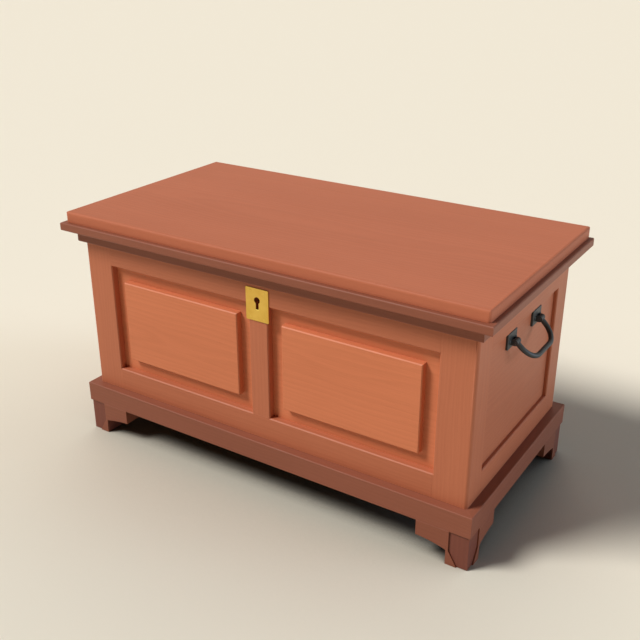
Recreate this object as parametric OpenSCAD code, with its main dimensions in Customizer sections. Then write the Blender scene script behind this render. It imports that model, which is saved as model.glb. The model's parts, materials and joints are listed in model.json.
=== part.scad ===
// Blanket chest: a joined case of posts, rails, muntins and panels on a plinth with bracket feet,
// under a hinged plank lid, with a chest lock at the front and a swinging bail at each end.
// Millimetres, +Z up, front towards -Y. The origin lies on the floor under the middle of the chest.

/* [Case] */
// Width of the case over its corner posts
case_w = 930; // [780:5:1150]
// Depth of the case over its corner posts
case_d = 460; // [400:5:580]
// Height of the whole chest with the lid shut
total_h = 536; // [500:1:620]
// Thickness of the rails and muntins
rail_t = 30; // [27:1:34]
// Width of a corner post on the front and back
post_w = 72; // [60:1:90]
// Depth of a corner post on the sides
post_d = 60; // [52:1:75]
// Width of the front and back muntins
muntin_w = 45; // [40:1:60]
// Height of the bottom rails
low_rail_h = 52; // [44:1:70]
// Height of the top rails
top_rail_h = 90; // [82:1:100]
// Rounding of the case's upright corners
post_round = 6.5; // [2:0.5:12]

/* [Joinery] */
// Length of the tenons of the rails
tenon_l = 32; // [20:1:36]
// Thickness of every tenon
tenon_t = 12; // [8:0.5:13]
// Depth from a member's face to its tenon
tenon_in = 10; // [7:0.5:12]
// Length of the tenons of the muntins
muntin_tenon_l = 25; // [15:1:28]
// Depth of the grooves that hold the panels
groove_deep = 10; // [7:0.5:11]
// Room at the bottom of each groove and mortise
groove_room = 1; // [0.5:0.25:2]
// Clearance on the cheeks of tenons and tongues
joint_fit = 0.1; // [0.05:0.05:0.2]

/* [Panels] */
// Depth from the face of the frame to the sunk border of a front panel
border_deep = 16; // [10:0.5:17]
// Width of the sunk border round the raised field
border_w = 32; // [20:1:45]
// Depth from the face of the frame to the raised field
field_deep = 0.6; // [0:0.1:4]
// Thickness of the tongue round a front panel
tongue_t = 7; // [5:0.5:9]
// Depth from the face of the frame to a side or back panel
flat_deep = 8; // [3:0.5:10]
// Thickness of a side or back panel
flat_t = 10; // [8:0.5:13]
// Chamfer round each panel opening and raised field
arris = 2; // [1:0.5:4]

/* [Band] */
// Height of the band under the lid
band_h = 45; // [30:1:50]
// Thickness of the band
band_t = 11; // [7:0.5:14]
// Rounding of the lower edge of the band
band_round = 3; // [1:0.5:5]

/* [Plinth and feet] */
// Height of the plinth boards
plinth_h = 46; // [36:1:60]
// Thickness of the plinth boards and brackets
plinth_t = 38; // [34:1:45]
// How far the plinth stands proud of the case
plinth_proud = 20; // [12:1:22]
// Rounding of the plinth's outer edges
plinth_round = 2; // [1:0.5:4]
// Height of the feet below the plinth
foot_h = 75; // [60:1:100]
// Width of a foot from the plinth's corner
foot_w = 48; // [42:1:58]
// Setback of the foot blocks behind the plinth
foot_set = 3; // [2:0.5:5]
// Reach of a bracket from the plinth's corner
bracket_l = 112; // [95:1:140]
// Height of the bracket's lower edge at its free end
bracket_end_z = 42; // [38:1:52]
// Height of the bracket's lower edge at the foot
bracket_foot_z = 32; // [22:1:36]
// Hollow of the bracket's lower edge
bracket_hollow = 2; // [1:0.5:5]
// Width of the lip that laps the foot block
lip_w = 5; // [3:0.5:8]
// Width of that lip on the floor
lip_toe_w = 24; // [12:1:30]

/* [Bottom] */
// Thickness of the bottom boards
bottom_t = 14; // [10:0.5:18]
// Number of bottom boards
bottom_count = 7; // [5:1:9]
// Width and height of the cleats under the bottom boards
cleat_s = 20; // [16:1:24]
// Length of the tongues between the bottom boards
board_tongue = 5; // [4:0.5:7]
// Length of a glue block behind the plinth
glue_block_l = 60; // [40:1:90]

/* [Lid] */
// Thickness of the lid
lid_t = 24; // [20:1:28]
// Overhang of the lid at the front and sides
lid_over = 25; // [20:1:32]
// Overhang of the lid at the back
lid_back = 28; // [24:1:34]
// Rounding of the lid's top edges
lid_round = 6; // [3:0.5:9]
// Height of the moulding under the lid
mould_h = 18; // [14:1:24]
// How far the moulding stands proud of the lid
mould_proud = 10; // [5:0.5:14]
// Gap between the moulding and the band
mould_gap = 1.5; // [1:0.25:3]
// Rounding of the moulding's outer edges
mould_round = 3; // [1:0.5:6]
// Width of the battens under the lid
batten_w = 60; // [45:1:80]
// Thickness of the battens
batten_t = 18; // [14:1:22]
// Distance of each batten from the middle of the lid
batten_x = 240; // [180:5:260]
// Room between the ends of a batten and the rails
batten_room = 12; // [8:1:25]

/* [Hinges] */
// Distance of each hinge from the middle of the lid
hinge_x = 310; // [260:5:320]
// Width of a hinge
hinge_w = 76; // [60:1:95]
// Outer radius of the hinge barrel
barrel_r = 4.5; // [4:0.1:5]
// Radius of the hinge pin
hinge_pin_r = 2; // [1.5:0.1:2.4]
// Thickness of a hinge leaf
leaf_t = 2; // [1.5:0.1:2.4]
// Length of the leaf on the case
leaf_l = 38; // [30:1:46]
// Radial clearance of pins in their bores
run_fit = 0.05; // [0.02:0.01:0.09]
// Gap between pieces that move past each other
move_gap = 0.3; // [0.3:0.05:0.5]

/* [Lock] */
// Distance from the top of the case down to the keyhole's round
key_drop = 80; // [72:1:84]
// Radius of the keyhole's round
key_r = 7; // [5:0.5:8]
// Width of the keyhole's slot
key_slot_w = 7; // [5:0.5:9]
// Length of the keyhole's slot below the round's middle
key_slot_l = 19.5; // [14:0.5:22]
// Widening of the keyhole where it runs through the wood
key_room = 3; // [0.5:0.25:4]
// Reach of the key's bit to the bolt
key_bit = 16; // [12:0.5:18]
// Width of the escutcheon
escutcheon_w = 54; // [44:1:64]
// Height of the escutcheon
escutcheon_h = 69; // [60:1:72]
// Thickness of the escutcheon
escutcheon_t = 2; // [1.5:0.25:3]
// Distance from the keyhole's round to the escutcheon's lower edge
escutcheon_low = 44; // [38:0.5:46]
// Width of the lock's box
lock_w = 90; // [84:1:110]
// Height of the lock's box
lock_h = 104; // [100:1:108]
// Depth of the lock's box with its plate
lock_d = 16; // [15:0.5:18]
// Thickness of the lock's walls
lock_wall = 2; // [1.5:0.25:2.5]
// Width of the plate's ears beside the box
lock_ear = 14; // [12:1:18]
// Travel of the lock's bolt
bolt_travel = 8; // [7:0.5:9]
// Thickness of the bolt
bolt_t = 4; // [3:0.5:5]

/* [Handles] */
// Distance from the top of the case down to the bail's pivot
handle_drop = 114; // [105:1:140]
// Distance between the middles of a handle's two plates
plate_span = 127; // [110:0.5:150]
// Width of a handle plate
plate_w = 42; // [38:1:48]
// Height of a handle plate
plate_h = 32; // [28:1:40]
// Height of a handle plate's middle above the bail's pivot
plate_rise = 3; // [0:0.5:4]
// Thickness of a handle plate
plate_t = 5; // [3:0.5:6]
// Radius of the bail's bar
bail_r = 5.2; // [4:0.1:5.5]
// Distance from the bail's pivot to the middle of its grip
bail_reach = 46.5; // [40:0.5:50]
// Largest radius of the bail's corners on the bar's middle
bail_corner = 36; // [16:1:40]
// Angle of the bail below the level
bail_tilt = 43; // [0:1:57]
// Radius of the bail's pins
bail_pin_r = 2.5; // [2:0.1:3]
// Thickness of the lugs that hold the bail's pins
lug_t = 3; // [2.5:0.5:4]

/* [Fasteners] */
// Radius of the wood screws' shanks
screw_r = 1.8; // [1.5:0.1:2]
// Radius of the wood screws' heads
screw_head_r = 3.6; // [3:0.1:4]
// Length of the short screws
screw_l = 16; // [12:1:17]
// Length of the batten screws past the batten
batten_bite = 14; // [10:1:17]
// Clearance round a fastener
screw_fit = 0.05; // [0.03:0.01:0.1]
// Radius of the escutcheon pins
tack_r = 0.9; // [0.7:0.1:1.2]
// Radius of the handles' bolts
bolt_r = 2; // [1.5:0.1:2.3]

/* [Hidden] */
$fn = 48;

// Extra length of a cutting tool past the face that it leaves
past = 1;
wood = "#B5673F";
panel_wood = "#C4734A";
dark_wood = "#8A5340";
block_wood = "#6E4234";
pine = "#C79A6B";
brass = "#CFA74D";
iron = "#2F3132";
steel = "#8D8F90";

// The depth of the chest with its lid runs evenly to both sides of the origin
front_reach = lid_over + mould_proud;
case_y = (front_reach - lid_back) / 2;
case_z = foot_h + plinth_h;
case_top = total_h - lid_t;
case_h = case_top - case_z;
open_z0 = case_z + low_rail_h;
open_z1 = case_top - top_rail_h;
open_h = open_z1 - open_z0;
rail_l = case_w - 2 * post_w;
side_l = case_d - 2 * post_d;
open_w = (rail_l - muntin_w) / 2;
open_x = (muntin_w + open_w) / 2;
tongue_in = groove_deep - groove_room;
// A tenon keeps clear of the groove by this much
tenon_rest = 2;
tenon_edge = 8;
muntin_tenon_w = muntin_w - 2 * (groove_deep + tenon_rest);

plinth_w = case_w + 2 * plinth_proud;
plinth_d = case_d + 2 * plinth_proud;
lid_w = case_w + 2 * lid_over;
mould_w = lid_w + 2 * mould_proud;
mould_in = band_t + mould_gap;
mould_t = front_reach - mould_in;

cleat_rise = 2;
bottom_z = case_z + cleat_s + cleat_rise;
bottom_w = case_w - 2 * rail_t;
bottom_d = case_d - 2 * rail_t;
board_w = bottom_w / bottom_count;
board_gap = 0.5;

pivot_y = case_d / 2 + barrel_r;
pivot_z = case_top - barrel_r - move_gap;
knuckles = 5;
knuckle_w = hinge_w / knuckles;
knuckle_gap = 0.2;
lid_leaf_l = lid_back - 2 * barrel_r - move_gap - leaf_t;
hinge_screws = 3;

key_z = case_top - key_drop;
lock_sink = 0.5;
lock_top = case_top - lock_sink;
lock_y = -case_d / 2 + rail_t;
bolt_y = lock_y + lock_d / 2;
staple_w = 11;
staple_t = 4;
staple_l = 18.5;
staple_bar = 3;
staple_room = 1.2;
staple_crown = 2;
staple_plate_edge = 3;
staple_plate_l = 84;
staple_plate_t = 2;
staple_first = -17;
staple_pitch = 44;
finger_h = 5;
finger_drop = 14;
finger_room = 1;
finger_z = case_top - finger_drop;
bolt_bar_drop = 2.5;
bolt_bar_z = case_top - staple_l - bolt_bar_drop;
bolt_body_h = bolt_bar_z - key_z - key_bit;
bolt_post_w = 7;
bolt_stud_r = 2;
bolt_slot_play = 0.2;
bolt_slot_drop = 8;
bolt_slot_z = bolt_bar_z - bolt_slot_drop;
bolt_stud_x = 20;
bolt_margin = 9;
talon_r = 6;
key_pin_r = 2;
lock_screw_drop = 16;
lock_screw_pitch = 46;
staple_screw_x = 36;
tack_head_r = 1.7;
tack_head_t = 0.6;
tack_l = 12;
tack_edge = 6;
escutcheon_round = 2;
screw_slot_w = 1;
screw_slot_deep = 0.9;
// Places of a case leaf's screws as parts of its length
leaf_screw_rows = [0.35, 0.7];

handle_z = case_top - handle_drop;
panel_x = case_w / 2 - flat_deep;
arm_y = plate_span / 2;
eye_wall = 1;
eye_r = bail_r + eye_wall;
pivot_room = 1;
bail_x = panel_x + plate_t + eye_r + pivot_room;
// The bar is this much thinner than the bosses at its ends
bar_thin = 0.1;
bar_r = bail_r - bar_thin;
// The bend keeps clear of the lugs
bail_bend = min(bail_corner, bail_reach - eye_r - 2 * pivot_room);
lug_out = bail_r + move_gap + lug_t;
plate_chamfer = 1.4;
pin_head_r = bail_pin_r + 1;
pin_head_t = 1;
// A plate's two bolts stand midway between its lugs and its ends
plate_bolt_y = (lug_out + plate_w / 2) / 2;
bolt_head_r = 3.6;
bolt_head_slope = 1.2;
bolt_head_t = 1.8;
nut_t = 3.2;
nut_r = 4.2;
bolt_end = 1;

// Helpers

// Waste outside a rounded corner at the origin of a plan whose wood fills the +X +Y quarter
module corner_waste(r) {
    difference() {
        translate([-past, -past])
            square(r + past);
        translate([r, r])
            circle(r);
    }
}

// The same waste along the X axis, for wood on its +Y and +Z side
module edge_waste(l, r) {
    rotate([90, 0, 90])
        translate([0, 0, -l / 2])
            linear_extrude(l)
                corner_waste(r);
}

// Block that tapers along Y from one rectangle in X and Z to another, both about the axis
module frustum(w0, h0, w1, h1, l) {
    polyhedron(
        points = [
            for (end = [[w0, h0, 0], [w1, h1, l]], c = [[-1, -1], [1, -1], [1, 1], [-1, 1]])
                [c[0] * end[0] / 2, end[2], c[1] * end[1] / 2]
        ],
        faces = [[3, 2, 1, 0], [5, 6, 7, 4], [1, 5, 4, 0], [2, 6, 5, 1], [3, 7, 6, 2], [0, 4, 7, 3]]
    );
}

// Waste of the chamfer round a panel opening whose face lies on Y = 0
module opening_waste(w, h) {
    over = 2 * (arris + past);
    translate([0, -past, 0])
        frustum(w + over, h + over, w, h, arris + past);
}

module in_case() {
    translate([0, case_y, 0])
        children();
}

// Children on the right end, turned to face +X, with their own face on Y = 0
module on_side() {
    translate([case_w / 2, 0, 0])
        rotate([0, 0, 90])
            children();
}

module both_sides() {
    children();
    mirror([1, 0, 0])
        children();
}

// The waste round both front or back openings, for a face on Y = 0
module pair_waste() {
    for (s = [-1, 1])
        translate([s * open_x, 0, (open_z0 + open_z1) / 2])
            opening_waste(open_w, open_h);
}

module side_waste() {
    translate([0, 0, (open_z0 + open_z1) / 2])
        opening_waste(side_l, open_h);
}

// Waste of the keyhole, widened all round by a margin and run along +Y
module keyhole(l, margin) {
    translate([0, l, key_z])
        rotate([90, 0, 0])
            linear_extrude(l)
                union() {
                    circle(key_r + margin);
                    translate([-key_slot_w / 2 - margin, -key_slot_l - margin])
                        square([key_slot_w + 2 * margin, key_slot_l + margin]);
                }
}

// Screw along +Z with its flat head's face on Z = 0 and its tip above
module screw(l) {
    difference() {
        union() {
            cylinder(h = screw_head_r - screw_r, r1 = screw_head_r, r2 = screw_r);
            cylinder(h = l, r = screw_r);
        }
        translate([-screw_head_r - past, -screw_slot_w / 2, -past])
            cube([2 * (screw_head_r + past), screw_slot_w, past + screw_slot_deep]);
    }
}

// The hole that such a screw sits in
module screw_hole(l) {
    head = screw_head_r + screw_fit;
    stem = screw_r + screw_fit;
    translate([0, 0, -past])
        cylinder(h = past, r = head);
    cylinder(h = head - stem, r1 = head, r2 = stem);
    cylinder(h = l + groove_room, r = stem);
}

// Case frame

// Post at the front right corner, with the depth and width of the groove on its front
module corner_post(deep, thick) {
    x0 = case_w / 2 - post_w;
    y0 = -case_d / 2;
    y1 = y0 + post_d;
    color(wood)
        difference() {
            translate([x0, y0, case_z])
                cube([post_w, post_d, case_h]);
            translate([case_w / 2, y0, case_z - past])
                mirror([1, 0, 0])
                    linear_extrude(case_h + 2 * past)
                        corner_waste(post_round);
            // Groove and mortises of the front or back frame
            translate([x0 - past, y0 + deep, open_z0 - groove_deep])
                cube([groove_deep + past, thick + joint_fit, open_h + 2 * groove_deep]);
            for (z = rail_tenon_spans())
                translate([x0 - past, y0 + tenon_in - joint_fit, z[0] - joint_fit])
                    cube([tenon_l + groove_room + past, tenon_t + 2 * joint_fit, z[1] - z[0] + 2 * joint_fit]);
            // Groove and mortises of the side frame
            translate([panel_x - flat_t - joint_fit, y1 - groove_deep, open_z0 - groove_deep])
                cube([flat_t + joint_fit, groove_deep + past, open_h + 2 * groove_deep]);
            for (z = rail_tenon_spans())
                translate([
                    case_w / 2 - tenon_in - tenon_t - joint_fit,
                    y1 - tenon_l - groove_room,
                    z[0] - joint_fit
                ])
                    cube([tenon_t + 2 * joint_fit, tenon_l + groove_room + past, z[1] - z[0] + 2 * joint_fit]);
            translate([0, y0, 0])
                pair_waste();
            on_side()
                side_waste();
        }
}

// The heights that the tenons of the bottom and top rails fill
function rail_tenon_spans() = [
    [case_z + tenon_edge, open_z0 - groove_deep - tenon_rest],
    [open_z1 + groove_deep + tenon_rest, case_top - tenon_edge]
];

// Rail with its face on Y = 0, at its height in the case, as the bottom or the top one
module rail(l, top, deep, thick) {
    z0 = top ? open_z1 : case_z;
    h = top ? top_rail_h : low_rail_h;
    groove_z = top ? open_z1 - past : open_z0 - groove_deep;
    span = rail_tenon_spans()[top ? 1 : 0];
    difference() {
        union() {
            translate([-l / 2, 0, z0])
                cube([l, rail_t, h]);
            translate([-l / 2 - tenon_l, tenon_in, span[0]])
                cube([l + 2 * tenon_l, tenon_t, span[1] - span[0]]);
        }
        translate([-l / 2 - past, deep, groove_z])
            cube([l + 2 * past, thick + joint_fit, groove_deep + past]);
    }
}

// Rail of the front or back frame, with the mortise of its muntin
module long_rail(top, deep, thick) {
    color(wood)
        difference() {
            rail(rail_l, top, deep, thick);
            translate([
                -muntin_tenon_w / 2 - joint_fit,
                tenon_in - joint_fit,
                top ? open_z1 - past : open_z0 - muntin_tenon_l - groove_room
            ])
                cube([
                    muntin_tenon_w + 2 * joint_fit,
                    tenon_t + 2 * joint_fit,
                    muntin_tenon_l + groove_room + past
                ]);
            pair_waste();
        }
}

module side_rail(top) {
    color(wood)
        difference() {
            rail(side_l, top, flat_deep, flat_t);
            side_waste();
        }
}

// Muntin with its face on Y = 0
module muntin(deep, thick) {
    color(wood)
        difference() {
            union() {
                translate([-muntin_w / 2, 0, open_z0])
                    cube([muntin_w, rail_t, open_h]);
                translate([-muntin_tenon_w / 2, tenon_in, open_z0 - muntin_tenon_l])
                    cube([muntin_tenon_w, tenon_t, open_h + 2 * muntin_tenon_l]);
            }
            both_sides()
                translate([muntin_w / 2 - groove_deep, deep, open_z0 - past])
                    cube([groove_deep + past, thick + joint_fit, open_h + 2 * past]);
            pair_waste();
        }
}

// Fielded panel about the middle of its opening: tongue, sunk border and raised field
module fielded_panel() {
    field_w = open_w - 2 * border_w;
    field_h = open_h - 2 * border_w;
    color(panel_wood)
        union() {
            translate([-open_w / 2 - tongue_in, border_deep, -open_h / 2 - tongue_in])
                cube([open_w + 2 * tongue_in, tongue_t, open_h + 2 * tongue_in]);
            translate([-field_w / 2, field_deep + arris, -field_h / 2])
                cube([field_w, border_deep + tongue_t / 2 - field_deep - arris, field_h]);
            translate([0, field_deep, 0])
                frustum(field_w - 2 * arris, field_h - 2 * arris, field_w, field_h, arris);
        }
}

// Flat panel about the middle of an opening of that width
module flat_panel(w) {
    color(panel_wood)
        translate([-w / 2 - tongue_in, flat_deep, -open_h / 2 - tongue_in])
            cube([w + 2 * tongue_in, flat_t, open_h + 2 * tongue_in]);
}

module at_front() {
    in_case()
        translate([0, -case_d / 2, 0])
            children();
}

module at_back() {
    in_case()
        mirror([0, 1, 0])
            translate([0, -case_d / 2, 0])
                children();
}

module at_right() {
    in_case()
        on_side()
            children();
}

module at_left() {
    mirror([1, 0, 0])
        at_right()
            children();
}

module post_front_right() {
    in_case()
        corner_post(border_deep, tongue_t);
}

module post_front_left() {
    mirror([1, 0, 0])
        post_front_right();
}

module post_back_right() {
    in_case()
        mirror([0, 1, 0])
            corner_post(flat_deep, flat_t);
}

module post_back_left() {
    mirror([1, 0, 0])
        post_back_right();
}

module front_top_rail() {
    color(wood)
        difference() {
            at_front()
                long_rail(true, border_deep, tongue_t);
            at_front()
                translate([0, -past, 0])
                    keyhole(rail_t + 2 * past, key_room);
            in_case()
                lock_screw_places()
                    screw_hole(screw_l);
            at_front()
                tack_holes();
        }
}

module front_bottom_rail() {
    at_front()
        long_rail(false, border_deep, tongue_t);
}

module front_muntin() {
    color(wood)
        difference() {
            at_front()
                muntin(border_deep, tongue_t);
            at_front()
                translate([0, -past, 0])
                    keyhole(rail_t + 2 * past, key_room);
            at_front()
                tack_holes();
        }
}

module front_panel_right() {
    at_front()
        translate([open_x, 0, (open_z0 + open_z1) / 2])
            fielded_panel();
}

module front_panel_left() {
    mirror([1, 0, 0])
        front_panel_right();
}

module back_top_rail() {
    color(wood)
        difference() {
            at_back()
                long_rail(true, flat_deep, flat_t);
            case_leaf_screw_places()
                screw_hole(screw_l);
        }
}

module back_bottom_rail() {
    at_back()
        long_rail(false, flat_deep, flat_t);
}

module back_muntin() {
    at_back()
        muntin(flat_deep, flat_t);
}

module back_panel_right() {
    at_back()
        translate([open_x, 0, (open_z0 + open_z1) / 2])
            flat_panel(open_w);
}

module back_panel_left() {
    mirror([1, 0, 0])
        back_panel_right();
}

module right_top_rail() {
    at_right()
        side_rail(true);
}

module right_bottom_rail() {
    at_right()
        side_rail(false);
}

module right_panel() {
    color(panel_wood)
        difference() {
            at_right()
                translate([0, 0, (open_z0 + open_z1) / 2])
                    flat_panel(side_l);
            right_bolt_places()
                bolt_hole();
        }
}

module left_top_rail() {
    mirror([1, 0, 0])
        right_top_rail();
}

module left_bottom_rail() {
    mirror([1, 0, 0])
        right_bottom_rail();
}

module left_panel() {
    mirror([1, 0, 0])
        right_panel();
}

// Band, plinth and feet

// Front board of a mitred frame: outer width and depth, thickness and height
module mitred_front(w, d, t, h) {
    linear_extrude(h)
        polygon([[-w / 2, -d / 2], [w / 2, -d / 2], [w / 2 - t, -d / 2 + t], [-w / 2 + t, -d / 2 + t]]);
}

// Right board of the same frame, mitred at the front and mitred or square at the back
module mitred_side(w, d, t, h, square_end) {
    linear_extrude(h)
        polygon([
            [w / 2, -d / 2],
            [w / 2, d / 2],
            [w / 2 - t, square_end ? d / 2 : d / 2 - t],
            [w / 2 - t, -d / 2 + t]
        ]);
}

// Waste along the outer edge of a front board, at its lower edge
module front_edge_waste(w, d, r) {
    translate([0, -d / 2, 0])
        edge_waste(w + 2 * past, r);
}

module side_edge_waste(w, d, r) {
    translate([w / 2, 0, 0])
        rotate([0, 0, 90])
            edge_waste(d + 2 * past, r);
}

module band_front() {
    w = case_w + 2 * band_t;
    d = case_d + 2 * band_t;
    color(dark_wood)
        in_case()
            translate([0, 0, case_top - band_h])
                difference() {
                    mitred_front(w, d, band_t, band_h);
                    front_edge_waste(w, d, band_round);
                }
}

// The side bands end square with the back of the case
module band_right() {
    w = case_w + 2 * band_t;
    d = case_d + 2 * band_t;
    color(dark_wood)
        in_case()
            translate([0, 0, case_top - band_h])
                difference() {
                    mitred_side(w, d, band_t, band_h, true);
                    side_edge_waste(w, d, band_round);
                    translate([0, case_d / 2, -past])
                        cube([w, 2 * band_t, band_h + 2 * past]);
                }
}

module band_left() {
    mirror([1, 0, 0])
        band_right();
}

module plinth_board_front() {
    color(dark_wood)
        translate([0, 0, foot_h])
            difference() {
                mitred_front(plinth_w, plinth_d, plinth_t, plinth_h);
                translate([0, 0, plinth_h])
                    mirror([0, 0, 1])
                        front_edge_waste(plinth_w, plinth_d, plinth_round);
            }
}

module plinth_front() {
    in_case()
        plinth_board_front();
}

module plinth_back() {
    in_case()
        mirror([0, 1, 0])
            plinth_board_front();
}

module plinth_right() {
    color(dark_wood)
        in_case()
            translate([0, 0, foot_h])
                difference() {
                    mitred_side(plinth_w, plinth_d, plinth_t, plinth_h, false);
                    translate([0, 0, plinth_h])
                        mirror([0, 0, 1])
                            side_edge_waste(plinth_w, plinth_d, plinth_round);
                }
}

module plinth_left() {
    mirror([1, 0, 0])
        plinth_right();
}

// Children at the front right corner of the plinth, with +X and +Y running in from its corner
module at_corner() {
    in_case()
        translate([plinth_w / 2, -plinth_d / 2, 0])
            mirror([1, 0, 0])
                children();
}

module foot_block_front_right() {
    color(block_wood)
        at_corner()
            translate([foot_set, foot_set, 0])
                cube([foot_w - foot_set, foot_w - foot_set, foot_h]);
}

module foot_block_front_left() {
    mirror([1, 0, 0])
        foot_block_front_right();
}

module to_back() {
    in_case()
        mirror([0, 1, 0])
            translate([0, -case_y, 0])
                children();
}

module foot_block_back_right() {
    to_back()
        foot_block_front_right();
}

module foot_block_back_left() {
    to_back()
        foot_block_front_left();
}

// Bracket along +X from the corner: a wing with a hollowed lower edge, and a lip over the foot block
module bracket() {
    run = bracket_l - foot_w;
    rise = bracket_end_z - bracket_foot_z;
    chord = sqrt(run * run + rise * rise);
    hollow_r = chord * chord / (8 * bracket_hollow) + bracket_hollow / 2;
    drop = hollow_r - bracket_hollow;
    mid = [(bracket_l + foot_w) / 2, (bracket_end_z + bracket_foot_z) / 2];
    difference() {
        translate([foot_w, 0, bracket_foot_z])
            cube([run, plinth_t, foot_h - bracket_foot_z]);
        translate([mid[0] + drop * rise / chord, -past, mid[1] - drop * run / chord])
            rotate([-90, 0, 0])
                cylinder(h = plinth_t + 2 * past, r = hollow_r, $fn = 180);
    }
    translate([0, foot_set, 0])
        rotate([90, 0, 0])
            linear_extrude(foot_set)
                polygon([
                    [foot_w, 0],
                    [foot_w, foot_h],
                    [foot_w - lip_w, foot_h],
                    [foot_w - lip_w, bracket_foot_z],
                    [foot_w - lip_toe_w, 0]
                ]);
    // Root of the lip, where the wing's board runs past the block's edge
    translate([foot_w - past / 2, 0, bracket_foot_z])
        cube([past, foot_set, foot_h - bracket_foot_z]);
}

module brackets_front_right() {
    color(dark_wood)
        at_corner() {
            bracket();
            mirror([1, -1, 0])
                bracket();
        }
}

module brackets_front_left() {
    mirror([1, 0, 0])
        brackets_front_right();
}

module brackets_back_right() {
    to_back()
        brackets_front_right();
}

module brackets_back_left() {
    to_back()
        brackets_front_left();
}

// Bottom

// Board at the left end of its place, running front to back, with a tongue and a groove
module bottom_board(first, last) {
    y0 = -bottom_d / 2;
    third = bottom_t / 3;
    difference() {
        union() {
            translate([0, y0, 0])
                cube([board_w - board_gap, bottom_d, bottom_t]);
            if (!last)
                translate([board_w - board_gap - past, y0, third + joint_fit])
                    cube([board_tongue + past, bottom_d, third - 2 * joint_fit]);
        }
        if (!first)
            translate([-past, y0 - past, third])
                cube([board_tongue + past, bottom_d + 2 * past, third]);
    }
}

module bottom_boards() {
    in_x = case_w / 2 - post_w;
    in_y = case_d / 2 - post_d;
    color(pine)
        in_case()
            difference() {
                for (i = [0:bottom_count - 1])
                    translate([-bottom_w / 2 + board_gap / 2 + i * board_w, 0, bottom_z])
                        bottom_board(i == 0, i == bottom_count - 1);
                // Notches round the corner posts
                for (sx = [0, 1], sy = [0, 1])
                    mirror([sx, 0, 0])
                        mirror([0, sy, 0])
                            translate([in_x - joint_fit, in_y - joint_fit, bottom_z - past])
                                cube([post_w, post_d, bottom_t + 2 * past]);
            }
}

module bottom_cleats() {
    color(pine)
        in_case()
            for (s = [0, 1])
                mirror([0, s, 0])
                    translate([-rail_l / 2 + joint_fit, -case_d / 2 + rail_t, bottom_z - cleat_s])
                        cube([rail_l - 2 * joint_fit, cleat_s, cleat_s]);
}

// Blocks in the angle between the plinth boards and the rails that stand on them
module glue_blocks() {
    s = rail_t - (plinth_t - plinth_proud);
    h = plinth_h / 2;
    front_x = plinth_w / 4;
    color(pine)
        in_case() {
            for (x = [-front_x, 0, front_x], f = [0, 1])
                mirror([0, f, 0])
                    translate([x - glue_block_l / 2, -plinth_d / 2 + plinth_t, case_z - h])
                        cube([glue_block_l, s, h]);
            for (f = [0, 1])
                mirror([f, 0, 0])
                    translate([plinth_w / 2 - plinth_t - s, -glue_block_l / 2, case_z - h])
                        cube([s, glue_block_l, h]);
        }
}

// Lid

module lid_top() {
    y0 = -case_d / 2 - lid_over;
    d = case_d + lid_over + lid_back;
    color(wood)
        difference() {
            in_case()
                difference() {
                    translate([-lid_w / 2, y0, case_top])
                        cube([lid_w, d, lid_t]);
                    // Rounding of the four top edges
                    translate([0, y0, total_h])
                        mirror([0, 0, 1])
                            edge_waste(lid_w + 2 * past, lid_round);
                    translate([0, y0 + d, total_h])
                        mirror([0, 1, 0])
                            mirror([0, 0, 1])
                                edge_waste(lid_w + 2 * past, lid_round);
                    both_sides()
                        translate([lid_w / 2, y0 + d / 2, total_h])
                            mirror([0, 0, 1])
                                rotate([0, 0, 90])
                                    edge_waste(d + 2 * past, lid_round);
                    // Rounding of the four upright corners
                    both_sides()
                        for (end = [0, 1])
                            translate([lid_w / 2, y0 + end * d, case_top - past])
                                mirror([0, end, 0])
                                    mirror([1, 0, 0])
                                        linear_extrude(lid_t + 2 * past)
                                            corner_waste(lid_round);
                    translate([staple_mid_x() - staple_plate_l / 2 - joint_fit, bolt_y, case_top - past])
                        translate([0, -staple_plate_w() / 2 - joint_fit, 0])
                            cube([
                                staple_plate_l + 2 * joint_fit,
                                staple_plate_w() + 2 * joint_fit,
                                staple_plate_t + past
                            ]);
                }
            lid_leaf_screw_places()
                screw_hole(screw_l);
            batten_screw_places()
                screw_hole(batten_t + batten_bite);
            staple_screw_places()
                screw_hole(screw_l);
        }
}

module lid_moulding_front() {
    color(dark_wood)
        in_case()
            translate([0, 0, case_top - mould_h])
                difference() {
                    mitred_front(mould_w, case_d + 2 * front_reach, mould_t, mould_h);
                    front_edge_waste(mould_w, case_d + 2 * front_reach, mould_round);
                    translate([0, 0, mould_h])
                        mirror([0, 0, 1])
                            front_edge_waste(mould_w, case_d + 2 * front_reach, mould_round);
                }
}

// The side mouldings run to the back edge of the lid
module lid_moulding_right() {
    d = case_d + 2 * front_reach;
    color(dark_wood)
        in_case()
            translate([0, 0, case_top - mould_h])
                difference() {
                    mitred_side(mould_w, d, mould_t, mould_h, true);
                    side_edge_waste(mould_w, d, mould_round);
                    translate([0, 0, mould_h])
                        mirror([0, 0, 1])
                            side_edge_waste(mould_w, d, mould_round);
                    translate([0, case_d / 2 + lid_back, -past])
                        cube([mould_w, front_reach, mould_h + 2 * past]);
                }
}

module lid_moulding_left() {
    mirror([1, 0, 0])
        lid_moulding_right();
}

// Battens across the boards of the lid, clear of the rails
module lid_battens() {
    l = case_d - 2 * rail_t - 2 * batten_room;
    color(wood)
        difference() {
            in_case()
                both_sides()
                    difference() {
                        translate([batten_x - batten_w / 2, -l / 2, case_top - batten_t])
                            cube([batten_w, l, batten_t]);
                        // Chamfers under both ends
                        for (s = [0, 1])
                            mirror([0, s, 0])
                                translate([batten_x, -l / 2, case_top - batten_t])
                                    rotate([45, 0, 0])
                                        cube([batten_w + 2 * past, batten_t, batten_t], center = true);
                    }
            batten_screw_places()
                screw_hole(batten_t + batten_bite);
        }
}

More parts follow.
